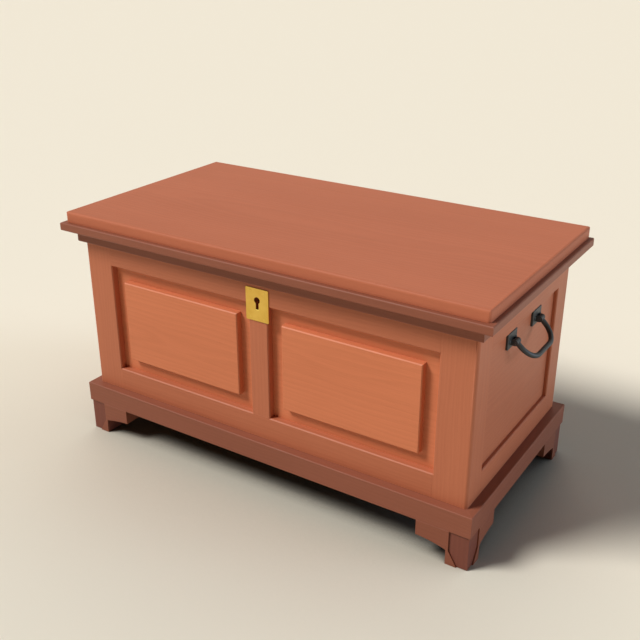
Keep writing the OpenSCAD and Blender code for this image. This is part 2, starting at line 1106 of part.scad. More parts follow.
// Places of the batten screws, pointing up from the battens' lower faces
module batten_screw_places() {
    span = (case_d - 2 * rail_t - 2 * batten_room) / 2 - batten_w / 2;
    in_case()
        for (sx = [-1, 1], y = [-1, -1 / 3, 1 / 3, 1])
            translate([sx * batten_x, y * span, case_top - batten_t])
                children();
}

// Hinges

// Knuckles with those indices along a hinge's barrel, bored for the pin
module knuckle_row(list) {
    for (i = list)
        translate([-hinge_w / 2 + i * knuckle_w + knuckle_gap / 2, 0, 0])
            rotate([0, 90, 0])
                cylinder(h = knuckle_w - knuckle_gap, r = barrel_r);
}

module barrel_bore() {
    translate([-hinge_w / 2 - past, 0, 0])
        rotate([0, 90, 0])
            cylinder(h = hinge_w + 2 * past, r = hinge_pin_r + run_fit);
}

module at_hinges() {
    for (s = [-1, 1])
        translate([s * hinge_x, case_y + pivot_y, pivot_z])
            children();
}

module hinge_case_leaves() {
    case_knuckles = [for (i = [0:2:knuckles - 1]) i];
    color(steel)
        difference() {
            at_hinges()
                difference() {
                    union() {
                        knuckle_row(case_knuckles);
                        translate([-hinge_w / 2, -barrel_r, -barrel_r - move_gap - leaf_l])
                            cube([hinge_w, leaf_t, leaf_l]);
                        for (i = case_knuckles)
                            translate([
                                -hinge_w / 2 + i * knuckle_w + knuckle_gap / 2,
                                -barrel_r,
                                -barrel_r - move_gap - past
                            ])
                                cube([knuckle_w - knuckle_gap, leaf_t, barrel_r + move_gap + past]);
                    }
                    barrel_bore();
                }
            case_leaf_screw_places()
                screw_hole(screw_l);
        }
}

module hinge_lid_leaves() {
    lid_knuckles = [for (i = [1:2:knuckles - 2]) i];
    top = barrel_r + move_gap;
    color(steel)
        difference() {
            at_hinges()
                difference() {
                    union() {
                        knuckle_row(lid_knuckles);
                        translate([-hinge_w / 2, barrel_r + move_gap, top - leaf_t])
                            cube([hinge_w, lid_leaf_l, leaf_t]);
                        for (i = lid_knuckles)
                            translate([-hinge_w / 2 + i * knuckle_w + knuckle_gap / 2, 0, top - leaf_t])
                                cube([knuckle_w - knuckle_gap, barrel_r + move_gap + past, leaf_t]);
                    }
                    barrel_bore();
                }
            lid_leaf_screw_places()
                screw_hole(screw_l);
        }
}

module hinge_pins() {
    color(steel)
        at_hinges()
            translate([-hinge_w / 2, 0, 0])
                rotate([0, 90, 0])
                    cylinder(h = hinge_w, r = hinge_pin_r);
}

// Places of the screws through the leaves on the case, pointing into the back rail
module case_leaf_screw_places() {
    at_hinges()
        for (i = [0:hinge_screws - 1])
            translate([
                (i - (hinge_screws - 1) / 2) * hinge_w / hinge_screws,
                -barrel_r + leaf_t,
                -barrel_r - leaf_l * leaf_screw_rows[i % 2]
            ])
                rotate([90, 0, 0])
                    children();
}

// Places of the screws through the leaves under the lid, pointing up
module lid_leaf_screw_places() {
    at_hinges()
        for (i = [0:hinge_screws - 1])
            translate([
                (i - (hinge_screws - 1) / 2) * hinge_w / hinge_screws,
                barrel_r + move_gap + lid_leaf_l / 2,
                barrel_r + move_gap - leaf_t
            ])
                children();
}

// Lock

function staple_mid_x() = staple_first + staple_pitch / 2;
function staple_plate_w() = staple_w + 2 * staple_plate_edge;
// Middles of the two staples along the front
function staple_xs() = [staple_first, staple_first + staple_pitch];

// Screws of the lock, pointing from its plate's inner face into the top rail
module lock_screw_places() {
    for (sx = [-1, 1], row = [0, 1])
        translate([
            sx * (lock_w + lock_ear) / 2,
            lock_y + lock_wall,
            case_top - lock_screw_drop - row * lock_screw_pitch
        ])
            rotate([90, 0, 0])
                children();
}

module staple_screw_places() {
    in_case()
        for (k = [-1:1])
            translate([staple_mid_x() + k * staple_screw_x, bolt_y, case_top])
                children();
}

// Box with its plate against the top rail, slots for the staples, studs for the bolt and a key pin
module lock_case() {
    z0 = lock_top - lock_h;
    inner_d = lock_d - 2 * lock_wall;
    color(steel)
        in_case() {
            difference() {
                union() {
                    translate([-lock_w / 2 - lock_ear, lock_y, z0])
                        cube([lock_w + 2 * lock_ear, lock_wall, lock_h]);
                    translate([-lock_w / 2, lock_y, z0])
                        cube([lock_w, lock_d, lock_h]);
                }
                translate([-lock_w / 2 + lock_wall, lock_y + lock_wall, z0 + lock_wall])
                    cube([lock_w - 2 * lock_wall, inner_d, lock_h - 2 * lock_wall]);
                for (x = staple_xs())
                    translate([x, bolt_y, lock_top - lock_wall - past])
                        translate([-staple_t / 2 - staple_room, -staple_w / 2 - staple_room, 0])
                            cube([
                                staple_t + 2 * staple_room,
                                staple_w + 2 * staple_room,
                                lock_wall + 2 * past
                            ]);
                translate([0, lock_y - past, 0])
                    keyhole(lock_wall + 2 * past, 0);
                lock_screw_places()
                    screw_hole(screw_l);
            }
            // Studs that carry the bolt
            for (sx = [-1, 1])
                translate([sx * bolt_stud_x, lock_y + lock_wall / 2, bolt_slot_z])
                    rotate([-90, 0, 0])
                        cylinder(h = lock_d - lock_wall, r = bolt_stud_r);
            // Pin that the barrel of the key turns on
            translate([0, lock_y + lock_wall, key_z])
                rotate([-90, 0, 0])
                    cylinder(h = lock_d - lock_wall - lock_wall / 2, r = key_pin_r);
        }
}

// Flat bolt on its two studs, with a finger for each staple and a talon for the key
module lock_bolt() {
    w = 2 * bolt_stud_x + bolt_travel + 2 * bolt_margin;
    x0 = -w / 2 - bolt_travel / 2;
    color(steel)
        in_case()
            translate([0, bolt_y + bolt_t / 2, 0])
                rotate([90, 0, 0])
                    linear_extrude(bolt_t)
                        difference() {
                            union() {
                                translate([x0, bolt_bar_z - bolt_body_h])
                                    square([w, bolt_body_h]);
                                for (x = staple_xs())
                                    translate([x - staple_t / 2 - 2 * finger_room - bolt_travel - bolt_post_w, 0])
                                        finger_outline();
                            }
                            // Slots for the studs, long enough for the travel
                            for (sx = [-1, 1])
                                stud_slot(sx * bolt_stud_x);
                            // Talon that the key's bit pushes
                            translate([0, bolt_bar_z - bolt_body_h])
                                circle(talon_r);
                        }
}

// Slot that lets the bolt move along by its travel from its rest on a stud
module stud_slot(x) {
    r = bolt_stud_r + bolt_slot_play;
    for (dx = [-bolt_travel, 0])
        translate([x + dx, bolt_slot_z])
            circle(r);
    translate([x - bolt_travel, bolt_slot_z - r])
        square([bolt_travel, 2 * r]);
}

// Upright of the bolt with its finger, from the left end of the upright
module finger_outline() {
    top = finger_z + finger_h;
    translate([0, bolt_bar_z - past])
        square([bolt_post_w, top - bolt_bar_z + past]);
    translate([0, finger_z])
        square([bolt_post_w + bolt_travel + finger_room, finger_h]);
}

// Plate let in under the lid with two looped staples
module lock_staples() {
    color(steel)
        difference() {
            in_case() {
                translate([
                    staple_mid_x() - staple_plate_l / 2,
                    bolt_y - staple_plate_w() / 2,
                    case_top
                ])
                    cube([staple_plate_l, staple_plate_w(), staple_plate_t]);
                for (x = staple_xs())
                    translate([x - staple_t / 2, bolt_y, case_top - staple_l])
                        difference() {
                            translate([0, -staple_w / 2, 0])
                                cube([staple_t, staple_w, staple_l + staple_plate_t / 2]);
                            translate([-past, -staple_w / 2 + staple_bar, staple_bar])
                                cube([
                                    staple_t + 2 * past,
                                    staple_w - 2 * staple_bar,
                                    staple_l - 2 * staple_bar - staple_crown
                                ]);
                        }
            }
            staple_screw_places()
                screw_hole(screw_l);
        }
}

module escutcheon() {
    color(brass)
        at_front()
            difference() {
                translate([0, 0, key_z - escutcheon_low])
                    rotate([90, 0, 0])
                        linear_extrude(escutcheon_t)
                            difference() {
                                translate([-escutcheon_w / 2, 0])
                                    square([escutcheon_w, escutcheon_h]);
                                for (sx = [0, 1], sz = [0, 1])
                                    mirror([sx, 0])
                                        translate([-escutcheon_w / 2, sz * escutcheon_h])
                                            mirror([0, sz])
                                                corner_waste(escutcheon_round);
                            }
                translate([0, -escutcheon_t - past, 0])
                    keyhole(escutcheon_t + 2 * past, 0);
                tack_holes();
            }
}

// Places of the escutcheon pins on the face of the frame, pointing in
module tack_places() {
    in_x = muntin_w / 2 - tack_edge;
    low = key_z - escutcheon_low;
    for (sx = [-1, 1], z = [low + tack_edge, low + escutcheon_h - tack_edge])
        translate([sx * in_x, -escutcheon_t, z])
            rotate([-90, 0, 0])
                children();
}

module tack_holes() {
    tack_places()
        translate([0, 0, -past])
            cylinder(h = tack_l + 2 * past, r = tack_r + screw_fit);
}

module escutcheon_pins() {
    color(brass)
        at_front()
            tack_places()
                union() {
                    cylinder(h = tack_l, r = tack_r);
                    translate([0, 0, -tack_head_t])
                        cylinder(h = tack_head_t, r = tack_head_r);
                }
}

// Handles

// The right bail's pivot behind each plate on the face of the side panel, with +Z pointing out
module right_plate_places() {
    in_case()
        for (s = [-1, 1])
            translate([panel_x, s * arm_y, handle_z])
                rotate([0, 90, 0])
                    children();
}

// The bolts of those plates, with +Z pointing out
module right_bolt_places() {
    right_plate_places()
        for (s = [-1, 1])
            translate([-plate_rise, s * plate_bolt_y, 0])
                children();
}

module bolt_hole() {
    translate([0, 0, -flat_t - past])
        cylinder(h = flat_t + plate_t + 2 * past, r = bolt_r + screw_fit);
}

// Plate with chamfered edges and two lugs that hold the bail's end between them
module plate() {
    pivot = bail_x - panel_x;
    difference() {
        union() {
            translate([-plate_h / 2 - plate_rise, -plate_w / 2, 0])
                cube([plate_h, plate_w, plate_t]);
            both_ends()
                translate([0, lug_out, 0])
                    rotate([90, 0, 0])
                        linear_extrude(lug_t)
                            union() {
                                translate([0, pivot])
                                    circle(eye_r);
                                translate([-eye_r, plate_t / 2])
                                    square([2 * eye_r, pivot - plate_t / 2]);
                            }
        }
        // Chamfers round the outer face
        translate([-plate_rise, 0, plate_t])
            for (a = [0, 180])
                rotate([0, 0, a]) {
                    translate([0, plate_w / 2, 0])
                        rotate([45, 0, 0])
                            cube([plate_h + 2 * past, plate_chamfer, plate_chamfer], center = true);
                    translate([plate_h / 2, 0, 0])
                        rotate([0, 45, 0])
                            cube([plate_chamfer, plate_w + 2 * past, plate_chamfer], center = true);
                }
        translate([0, -plate_w / 2, pivot])
            rotate([-90, 0, 0])
                cylinder(h = plate_w, r = bail_pin_r + run_fit);
        for (s = [-1, 1])
            translate([-plate_rise, s * plate_bolt_y, 0])
                bolt_hole();
    }
}

module handle_plates() {
    color(iron)
        both_sides()
            right_plate_places()
                plate();
}

// Riveted pins through the lugs
module handle_pins() {
    color(iron)
        both_sides()
            right_plate_places()
                translate([0, -lug_out - pin_head_t, bail_x - panel_x])
                    rotate([-90, 0, 0])
                        union() {
                            cylinder(h = 2 * (lug_out + pin_head_t), r = bail_pin_r);
                            cylinder(h = pin_head_t, r = pin_head_r);
                            translate([0, 0, 2 * lug_out + pin_head_t])
                                cylinder(h = pin_head_t, r = pin_head_r);
                        }
}

module handle_bolts() {
    color(iron)
        both_sides()
            right_bolt_places() {
                translate([0, 0, -flat_t - nut_t - bolt_end])
                    cylinder(h = flat_t + nut_t + bolt_end + plate_t + bolt_head_t / 2, r = bolt_r);
                translate([0, 0, plate_t])
                    cylinder(h = bolt_head_t, r1 = bolt_head_r, r2 = bolt_head_r - bolt_head_slope);
            }
}

module handle_nuts() {
    color(iron)
        both_sides()
            right_bolt_places()
                translate([0, 0, -flat_t - nut_t])
                    difference() {
                        cylinder(h = nut_t, r = nut_r, $fn = 6);
                        translate([0, 0, -past])
                            cylinder(h = nut_t + 2 * past, r = bolt_r + screw_fit);
                    }
}

// Bail with its pivot on the Y axis and its grip out along +X
module bail() {
    straight = bail_reach - bail_bend;
    grip = arm_y - bail_bend;
    difference() {
        union() {
            both_ends() {
                // Eye at the end of the arm
                translate([0, arm_y - bail_r, 0])
                    rotate([-90, 0, 0])
                        cylinder(h = 2 * bail_r, r = eye_r);
                translate([0, arm_y, 0])
                    rotate([0, 90, 0])
                        cylinder(h = straight, r = bar_r);
                translate([straight, grip, 0])
                    rotate_extrude(angle = 90)
                        translate([bail_bend, 0])
                            circle(bar_r, $fn = 32);
            }
            translate([bail_reach, -grip, 0])
                rotate([-90, 0, 0])
                    cylinder(h = 2 * grip, r = bar_r);
        }
        translate([0, -arm_y - bail_r - past, 0])
            rotate([-90, 0, 0])
                cylinder(h = 2 * (arm_y + bail_r + past), r = bail_pin_r + run_fit);
    }
}

module both_ends() {
    children();
    mirror([0, 1, 0])
        children();
}

module bail_right() {
    color(iron)
        in_case()
            translate([bail_x, 0, handle_z])
                rotate([0, bail_tilt, 0])
                    bail();
}

module bail_left() {
    mirror([1, 0, 0])
        bail_right();
}

// Screws

module case_screws() {
    color(steel) {
        case_leaf_screw_places()
            screw(screw_l);
        in_case()
            lock_screw_places()
                screw(screw_l);
    }
}

module lid_screws() {
    color(steel) {
        lid_leaf_screw_places()
            screw(screw_l);
        batten_screw_places()
            screw(batten_t + batten_bite);
        staple_screw_places()
            screw(screw_l);
    }
}

post_front_left();
post_front_right();
post_back_left();
post_back_right();
front_top_rail();
front_bottom_rail();
front_muntin();
front_panel_left();
front_panel_right();
back_top_rail();
back_bottom_rail();
back_muntin();
back_panel_left();
back_panel_right();
left_top_rail();
left_bottom_rail();
left_panel();
right_top_rail();
right_bottom_rail();
right_panel();
band_front();
band_left();
band_right();
plinth_front();
plinth_back();
plinth_left();
plinth_right();
foot_block_front_left();
foot_block_front_right();
foot_block_back_left();
foot_block_back_right();
brackets_front_left();
brackets_front_right();
brackets_back_left();
brackets_back_right();
bottom_boards();
bottom_cleats();
glue_blocks();
lid_top();
lid_moulding_front();
lid_moulding_left();
lid_moulding_right();
lid_battens();
hinge_case_leaves();
hinge_lid_leaves();
hinge_pins();
lock_case();
lock_bolt();
lock_staples();
escutcheon();
escutcheon_pins();
handle_plates();
handle_pins();
handle_bolts();
handle_nuts();
bail_left();
bail_right();
case_screws();
lid_screws();
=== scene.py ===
# %% [markdown]
# A blanket chest, dressed in Blender
# The chest is a joined case: corner posts, rails and muntins hold panels, a plinth with bracket
# feet carries it, and a plank lid shuts it. The shapes come from a CAD model that was packed
# before. This lesson eases the edges of the wood, gives each board its own grain, finishes brass,
# iron and steel, and sets up a plain studio. Each step says what the real thing is and why it is
# made so.

# %% Load the chest
import json
import math
import random

import bmesh
import bpy
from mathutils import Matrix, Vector

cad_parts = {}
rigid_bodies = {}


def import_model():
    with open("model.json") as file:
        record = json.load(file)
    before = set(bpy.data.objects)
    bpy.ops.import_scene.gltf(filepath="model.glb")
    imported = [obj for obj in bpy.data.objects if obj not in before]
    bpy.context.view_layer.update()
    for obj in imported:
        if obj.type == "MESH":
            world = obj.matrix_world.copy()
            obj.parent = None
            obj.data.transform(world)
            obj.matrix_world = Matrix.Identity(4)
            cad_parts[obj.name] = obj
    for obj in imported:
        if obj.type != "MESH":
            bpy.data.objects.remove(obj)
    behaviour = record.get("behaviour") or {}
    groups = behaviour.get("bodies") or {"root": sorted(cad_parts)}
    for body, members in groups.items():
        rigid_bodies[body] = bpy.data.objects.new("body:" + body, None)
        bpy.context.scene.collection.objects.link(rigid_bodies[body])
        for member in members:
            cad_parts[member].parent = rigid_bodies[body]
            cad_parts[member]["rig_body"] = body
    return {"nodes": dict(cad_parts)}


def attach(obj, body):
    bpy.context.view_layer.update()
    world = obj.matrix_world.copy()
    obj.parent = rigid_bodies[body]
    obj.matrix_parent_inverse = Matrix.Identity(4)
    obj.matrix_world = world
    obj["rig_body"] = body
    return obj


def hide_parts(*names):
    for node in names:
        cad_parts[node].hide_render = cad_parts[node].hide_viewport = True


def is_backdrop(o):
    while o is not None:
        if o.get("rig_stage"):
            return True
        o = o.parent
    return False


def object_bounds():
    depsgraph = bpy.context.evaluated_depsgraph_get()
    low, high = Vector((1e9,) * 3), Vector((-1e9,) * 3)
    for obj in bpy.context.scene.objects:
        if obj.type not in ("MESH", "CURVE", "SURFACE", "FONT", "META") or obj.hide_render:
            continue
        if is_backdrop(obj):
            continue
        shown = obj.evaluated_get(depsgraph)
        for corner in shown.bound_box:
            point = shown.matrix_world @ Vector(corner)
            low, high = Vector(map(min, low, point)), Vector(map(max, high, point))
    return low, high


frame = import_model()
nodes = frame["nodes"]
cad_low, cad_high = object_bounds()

# %% [markdown]
# The camera
# A chest on the floor is seen by somebody who stands at its right front corner and looks down.
# A lens a little longer than the eye's keeps the upright edges nearly parallel. The place and the
# turn were found by matching the chest's own corners, so nothing else has to be fitted later.

# %% Camera
LENS, SENSOR = 50.74, 36  # mm
CAMERA_PLACE = (0.9797, -1.5198, 1.1181)  # metres
TILT, TURN = 65.77, 32.84  # degrees up from straight down, and to the left of straight ahead
scene = bpy.context.scene
camera_data = bpy.data.cameras.new("camera")
camera_data.lens = LENS
camera_data.sensor_width = SENSOR
camera = bpy.data.objects.new("camera", camera_data)
scene.collection.objects.link(camera)
camera.location = CAMERA_PLACE
camera.rotation_euler = (math.radians(TILT), 0, math.radians(TURN))
scene.camera = camera
scene.view_settings.view_transform = "Standard"
print("camera", [round(c, 3) for c in camera.location])

# %% [markdown]
# Lamps
# The key lamp is a sun, because its light is as strong far away as near. It stands to the left of
# the front, about as high as it is far, and its wide disc makes the edges of the shadows soft.
# The other suns are weaker. Two behind the chest lighten its long shadow and leave a soft one in
# front of it. One low at the right, cool like daylight from a window, lights the chest's end but
# hardly the floor.

# %% Helpers for colours and lamps
LAMP_PLACE = 4  # metres from the chest; only a mark, because a sun shines alike from anywhere


def linear(red, green, blue):
    """A colour picked on screen, from 0 to 255, as the light values that shaders work with."""
    def one(value):
        # A screen's curve is a power of 2.4, with a straight piece next to black.
        value = value / 255
        return value / 12.92 if value <= 0.04045 else ((value + 0.055) / 1.055) ** 2.4
    return (one(red), one(green), one(blue), 1.0)


def sun(name, azimuth, height, strength, disc, colour):
    """A sun lamp. Azimuth 0 stands in front of the chest and 90 at its right, in degrees."""
    lamp = bpy.data.lights.new(name, "SUN")
    lamp.energy = strength
    lamp.angle = math.radians(disc)
    lamp.color = colour
    holder = bpy.data.objects.new(name, lamp)
    scene.collection.objects.link(holder)
    across, up = math.radians(azimuth), math.radians(height)
    level = math.cos(up)
    towards = Vector((math.sin(across) * level, -math.cos(across) * level, math.sin(up)))
    holder.rotation_euler = towards.to_track_quat("Z", "Y").to_euler()
    holder.location = towards * LAMP_PLACE
    print("lamp:", name, "from", azimuth, "at a height of", height, "degrees, strength", strength)


# %% Lamps
sun("key", -46, 48, 3.20, 20, (1.0, 0.99, 0.98))
sun("back", 205, 55, 0.34, 35, (0.98, 1.0, 1.0))
sun("right_back", 150, 30, 0.12, 35, (0.97, 0.99, 1.0))
sun("right", 112, 10, 1.50, 30, (0.64, 0.79, 1.0))

# %% [markdown]
# Nodes
# In Blender a colour that changes from place to place is worked out by a tree of small nodes, each
# of which does one thing. Written out, most of their lines are alike, so a few helpers make a
# node, do a sum, mix two colours or turn a number into a grey. The floor, the wood and the metal
# all use them.

# %% Helpers for nodes
def add(tree, kind, **values):
    """A node with its settings and inputs. An input takes a value or another node's output."""
    node = tree.nodes.new(kind)
    for key, value in values.items():
        if key not in node.inputs:
            setattr(node, key, value)
        elif isinstance(value, bpy.types.NodeSocket):
            tree.links.new(value, node.inputs[key])
        else:
            node.inputs[key].default_value = value
    return node


def math_node(tree, operation, first, second=None, clamp=False):
    """The result of a sum on one or two values, each a number or another node's output."""
    node = add(tree, "ShaderNodeMath", operation=operation, use_clamp=clamp)
    for socket, value in zip(node.inputs, (first, second)):
        if isinstance(value, bpy.types.NodeSocket):
            tree.links.new(value, socket)
        elif value is not None:
            socket.default_value = value
    return node.outputs[0]


# %% Helpers for colours from nodes
def mixed(tree, share, first, second, blend_type="MIX"):
    """Two colours mixed by a share, where 0 leaves the first one as it is."""
    node = add(
        tree, "ShaderNodeMix", data_type="RGBA", blend_type=blend_type,
        Factor=share, A=first, B=second,
    )
    return node.outputs["Result"]


def grey_ramp(tree, source, ends, between):
    """Greys that follow another output smoothly. The stops are pairs of a place and a grey."""
    node = add(tree, "ShaderNodeValToRGB", Fac=source)
    ramp = node.color_ramp
    ramp.interpolation = "B_SPLINE"
    for element, (place, grey) in zip(ramp.elements, ends):
        element.position = place
        element.color = (grey, grey, grey, 1)
    for place, grey in between:
        ramp.elements.new(place).color = (grey, grey, grey, 1)
    return node.outputs["Color"]


def new_material(name):
    """A new material with its tree of nodes and its shader."""
    material = bpy.data.materials.new(name)
    material.use_nodes = True
    tree = material.node_tree
    return material, tree, tree.nodes["Principled BSDF"]


# %% [markdown]
# Floor
# The studio is one pale floor of paper that runs far past the picture's edge. Painted shade makes
# the paper a little deeper in colour just before the chest and paler farther off.
# Suns alone leave the paper too bright close to the chest. In a real studio the walls and the
# ceiling throw back much of the floor's light, and the chest hides a part of them from the floor
# beside it. An Ambient Occlusion node measures that part and darkens the paper's colour by it, as
# painted shade.

# %% Colour of the paper, with painted shade
# The near colour is the paper with painted shade; the paper fades from it to the paler far one.
SHADED_PAPER_NEAR, PAPER_FAR = linear(227, 221, 204), linear(249, 239, 219)
PAINTED_SHADE_CENTRE = (0.15, -0.35, 0.0)  # metres; where the painted shade on the paper is deepest
PAINTED_SHADE_FADES_FROM, PAINTED_SHADE_GONE_AT = 0.1, 1.5  # metres from there
floor_material, tree, shader = new_material("studio floor")
shader.inputs["Roughness"].default_value = 0.85
shader.inputs["Specular IOR Level"].default_value = 0.15
place = add(tree, "ShaderNodeTexCoord")
away = add(tree, "ShaderNodeVectorMath", operation="DISTANCE")
away.inputs[1].default_value = PAINTED_SHADE_CENTRE
tree.links.new(place.outputs["Object"], away.inputs[0])
fade = add(
    tree, "ShaderNodeMapRange", interpolation_type="SMOOTHSTEP", Value=away.outputs["Value"],
)
fade.inputs["From Min"].default_value = PAINTED_SHADE_FADES_FROM
fade.inputs["From Max"].default_value = PAINTED_SHADE_GONE_AT
paper_with_painted_shade = mixed(tree, fade.outputs["Result"], SHADED_PAPER_NEAR, PAPER_FAR)
print("paper from", [round(c, 3) for c in SHADED_PAPER_NEAR], "to", [round(c, 3) for c in PAPER_FAR])

# %% Painted shade where the chest hides the room from the paper
HIDES_WITHIN = 0.8  # metres; a chest farther off than this hides no part of the room
open_room = add(tree, "ShaderNodeAmbientOcclusion", samples=16, Distance=HIDES_WITHIN)
# From how much of the room is open above a point to how dark the painted shade on the paper is there
painted_room_shade = grey_ramp(
    tree, open_room.outputs["AO"], ends=((0.0, 0.02), (1.0, 1.0)),
    between=((0.25, 0.22), (0.40, 0.60), (0.60, 0.80), (0.85, 1.0)),
)
# The paper's colour is multiplied by this painted shade.
paper = mixed(tree, 1.0, paper_with_painted_shade, painted_room_shade, blend_type="MULTIPLY")
tree.links.new(paper, shader.inputs["Base Color"])
print("paper:", len(tree.nodes), "nodes")

# %% Floor
FLOOR_REACH = 30  # metres from the middle to each edge
shape = bmesh.new()
bmesh.ops.create_grid(shape, x_segments=1, y_segments=1, size=FLOOR_REACH)
floor_mesh = bpy.data.meshes.new("floor")
shape.to_mesh(floor_mesh)
shape.free()
floor = bpy.data.objects.new("floor", floor_mesh)
scene.collection.objects.link(floor)
floor.data.materials.append(floor_material)
floor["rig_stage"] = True
print("floor:", len(floor_mesh.polygons), "face,", 2 * FLOOR_REACH, "m wide")

# %% [markdown]
# Room
# The room adds a very little light from everywhere. Metal and wax mirror it brighter, as they would
# mirror pale walls. Where a low view meets the end of the floor, the room behind it is just as pale
# as the paper.

# %% Room light
ROOM_COLOUR = (1.0, 0.92, 0.77, 1.0)
ROOM_LIGHT = 0.02  # on the chest, from everywhere
ROOM_MIRRORED = 0.50  # as metal and wax mirror it
ROOM_SEEN = 0.895  # as the camera sees it past the end of the floor
world = bpy.data.worlds.new("room")
scene.world = world
world.use_nodes = True
tree = world.node_tree
background = tree.nodes["Background"]
background.inputs["Color"].default_value = ROOM_COLOUR
path = add(tree, "ShaderNodeLightPath")
glossy, through = path.outputs["Is Glossy Ray"], path.outputs["Is Transmission Ray"]
mirrored = add(tree, "ShaderNodeMapRange", Value=math_node(tree, "MAXIMUM", glossy, through))
mirrored.inputs["To Min"].default_value = ROOM_LIGHT
mirrored.inputs["To Max"].default_value = ROOM_MIRRORED
seen = math_node(tree, "MULTIPLY", path.outputs["Is Camera Ray"], ROOM_SEEN)
strength = math_node(tree, "MAXIMUM", mirrored.outputs["Result"], seen)
tree.links.new(strength, background.inputs["Strength"])
print("room: light", ROOM_LIGHT, "mirrored", ROOM_MIRRORED, "seen", ROOM_SEEN)

# %% [markdown]
# Grain that knows its board
# Wood grain follows the tree, so it always runs along a board and never turns at a corner. If all
# boards shared one pattern, the grain would run straight across every joint and look printed.
# So each board stores, at each of its points, where that point lies along the board, across it and
# through its thickness. The shader reads this as if it were a solid block of wood, which also puts
# the right rings on the ends. Each board starts at its own place in the block.

# %% Boards of a piece
def loose_parts(shape):
    """The separate solids of a bmesh, as lists of vertices."""
    parts, met = [], set()
    for start in shape.verts:
        if start in met:
            continue
        met.add(start)
        part, edge_of = [start], [start]
        while edge_of:
            for edge in edge_of.pop().link_edges:
                for vert in edge.verts:
                    if vert not in met:
                        met.add(vert)
                        part.append(vert)
                        edge_of.append(vert)
        parts.append(part)
    return parts


# %% Grain of a board
TRUNK = 4  # metres; how far along the block a board may start, either way
PITH_ACROSS, PITH_THROUGH = (0.7, 1.3), (0.8, 1.3)  # how far a board's pith strays from its kind's


def store_grain(shape, seed, pith):
    """Writes each point's place in its board, longest side first, and the board's own tone.

    Pith is how far off the middle of the trunk lies, across and through the board, in metres.
    """
    grain = shape.verts.layers.float_vector.new("board")
    tone = shape.verts.layers.float.new("tone")
    chance = random.Random(seed)
    for part in loose_parts(shape):
        low = Vector([min(v.co[i] for v in part) for i in range(3)])
        high = Vector([max(v.co[i] for v in part) for i in range(3)])
        middle, size = (low + high) / 2, high - low
        along, across, through = sorted(range(3), key=lambda i: -size[i])
        start = Vector((
            chance.uniform(-TRUNK, TRUNK),
            pith[0] * chance.uniform(*PITH_ACROSS),
            pith[1] * chance.uniform(*PITH_THROUGH),
        ))
        if chance.random() < 0.5:
            start.y = -start.y
        board_tone = chance.uniform(-1, 1)
        for vert in part:
            own = vert.co - middle
            vert[grain] = Vector((own[along], own[across], own[through])) + start
            vert[tone] = board_tone


# %% [markdown]
# Eased edges
# No edge of a chest is knife sharp: the maker takes every arris off with a stroke of a plane or
# some sandpaper, and hands rub it further. In a picture this catches a thin line of light. The
# loose triangles of the imported model are merged, flat neighbours are joined into one face, and a
# small bevel goes along each sharp edge. The rims of screw holes are left out, because a bevel
# wider than their short edges would fold over itself. On small metal pieces the rims are the edges
# that show, so there the bevel is let in and shrinks to fit. The bevel's faces are marked, so the
# finish can wear thin there and a painted highlight can lighten them. A Weighted Normal modifier
# then keeps the big faces flat to the eye.

# %% Copy a imported piece
SAME_POINT = 0.00001  # metres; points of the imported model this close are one
FLAT = math.radians(0.6)  # faces that turn less than this against each other become one


def merged_copy(name):
    """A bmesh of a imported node, with its triangles joined."""
    shape = bmesh.new()
    shape.from_mesh(nodes[name].data)
    bmesh.ops.remove_doubles(shape, verts=shape.verts, dist=SAME_POINT)
    bmesh.ops.dissolve_limit(
        shape, angle_limit=FLAT, verts=shape.verts, edges=shape.edges,
        use_dissolve_boundaries=False, delimit=set(),
    )
    return shape


# %% Ease the edges of a piece
SHARP = math.radians(28)  # a turn that counts as an edge to ease
SHORTEST = 0.0012  # metres; shorter edges are mostly the rims of screw holes
CLOSED_UP = 0.000002  # metres; what is left smaller than this by the bevels is nothing


def ease(shape, width, rims=False):
    """Bevels the sharp edges, on small pieces the rims too, and says how many faces that made."""
    worn_and_highlight = shape.faces.layers.float.new("worn_and_highlight")
    edges = [
        edge for edge in shape.edges
        if len(edge.link_faces) == 2 and edge.calc_face_angle(0) > SHARP
        and (rims or edge.calc_length() > SHORTEST)
    ]
    made = bmesh.ops.bevel(
        shape, geom=edges, offset=width, offset_type="OFFSET", affect="EDGES",
        segments=2, profile=0.5, material=-1, clamp_overlap=rims, loop_slide=True,
    )
    count = len(made["faces"])
    # The bevel's faces are marked: there the colour is lightened, partly by wear and partly as a
    # painted highlight.
    for face in made["faces"]:
        face[worn_and_highlight] = 1.0
    # Where two bevels meet in a tight place, some faces close up to nothing and are cleared away.
    bmesh.ops.remove_doubles(shape, verts=shape.verts, dist=CLOSED_UP)
    bmesh.ops.dissolve_degenerate(shape, edges=shape.edges, dist=CLOSED_UP)
    return count


# %% Finish a piece
CREASE = math.radians(50)  # a turn that stays a crease in the shading
BIG_FACES_FIRST = 60  # of 100; how much the big faces decide how the small ones are shaded


def finish_piece(name, shape, material):
    """Makes the object, lets it ride on its node's body and stand for that node."""
    for face in shape.faces:
        face.smooth = True
    for edge in shape.edges:
        edge.smooth = len(edge.link_faces) == 2 and edge.calc_face_angle(0) < CREASE
    mesh = bpy.data.meshes.new(name + "_dressed")
    shape.to_mesh(mesh)
    shape.free()
    piece = bpy.data.objects.new(name + "_dressed", mesh)
    scene.collection.objects.link(piece)
    piece.data.materials.append(material)
    flat = piece.modifiers.new("keep flats flat", "WEIGHTED_NORMAL")
    flat.keep_sharp = True
    flat.weight = BIG_FACES_FIRST
    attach(piece, nodes[name]["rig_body"])
    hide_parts(name)
    return piece


# %% [markdown]
# The figure of the wood
# Seen from a step away, the chest's wood is calm: a reddish brown stain under a satin wax. Close by
# it has growth rings that the saw cut at a slant, fine streaks along the fibres, pores like short
# scratches, and soft clouds of lighter and darker wood. One node group makes all four from the
# board's own coordinates, so every wood of the chest shares it and only the colours, the contrast
# and the shine differ.

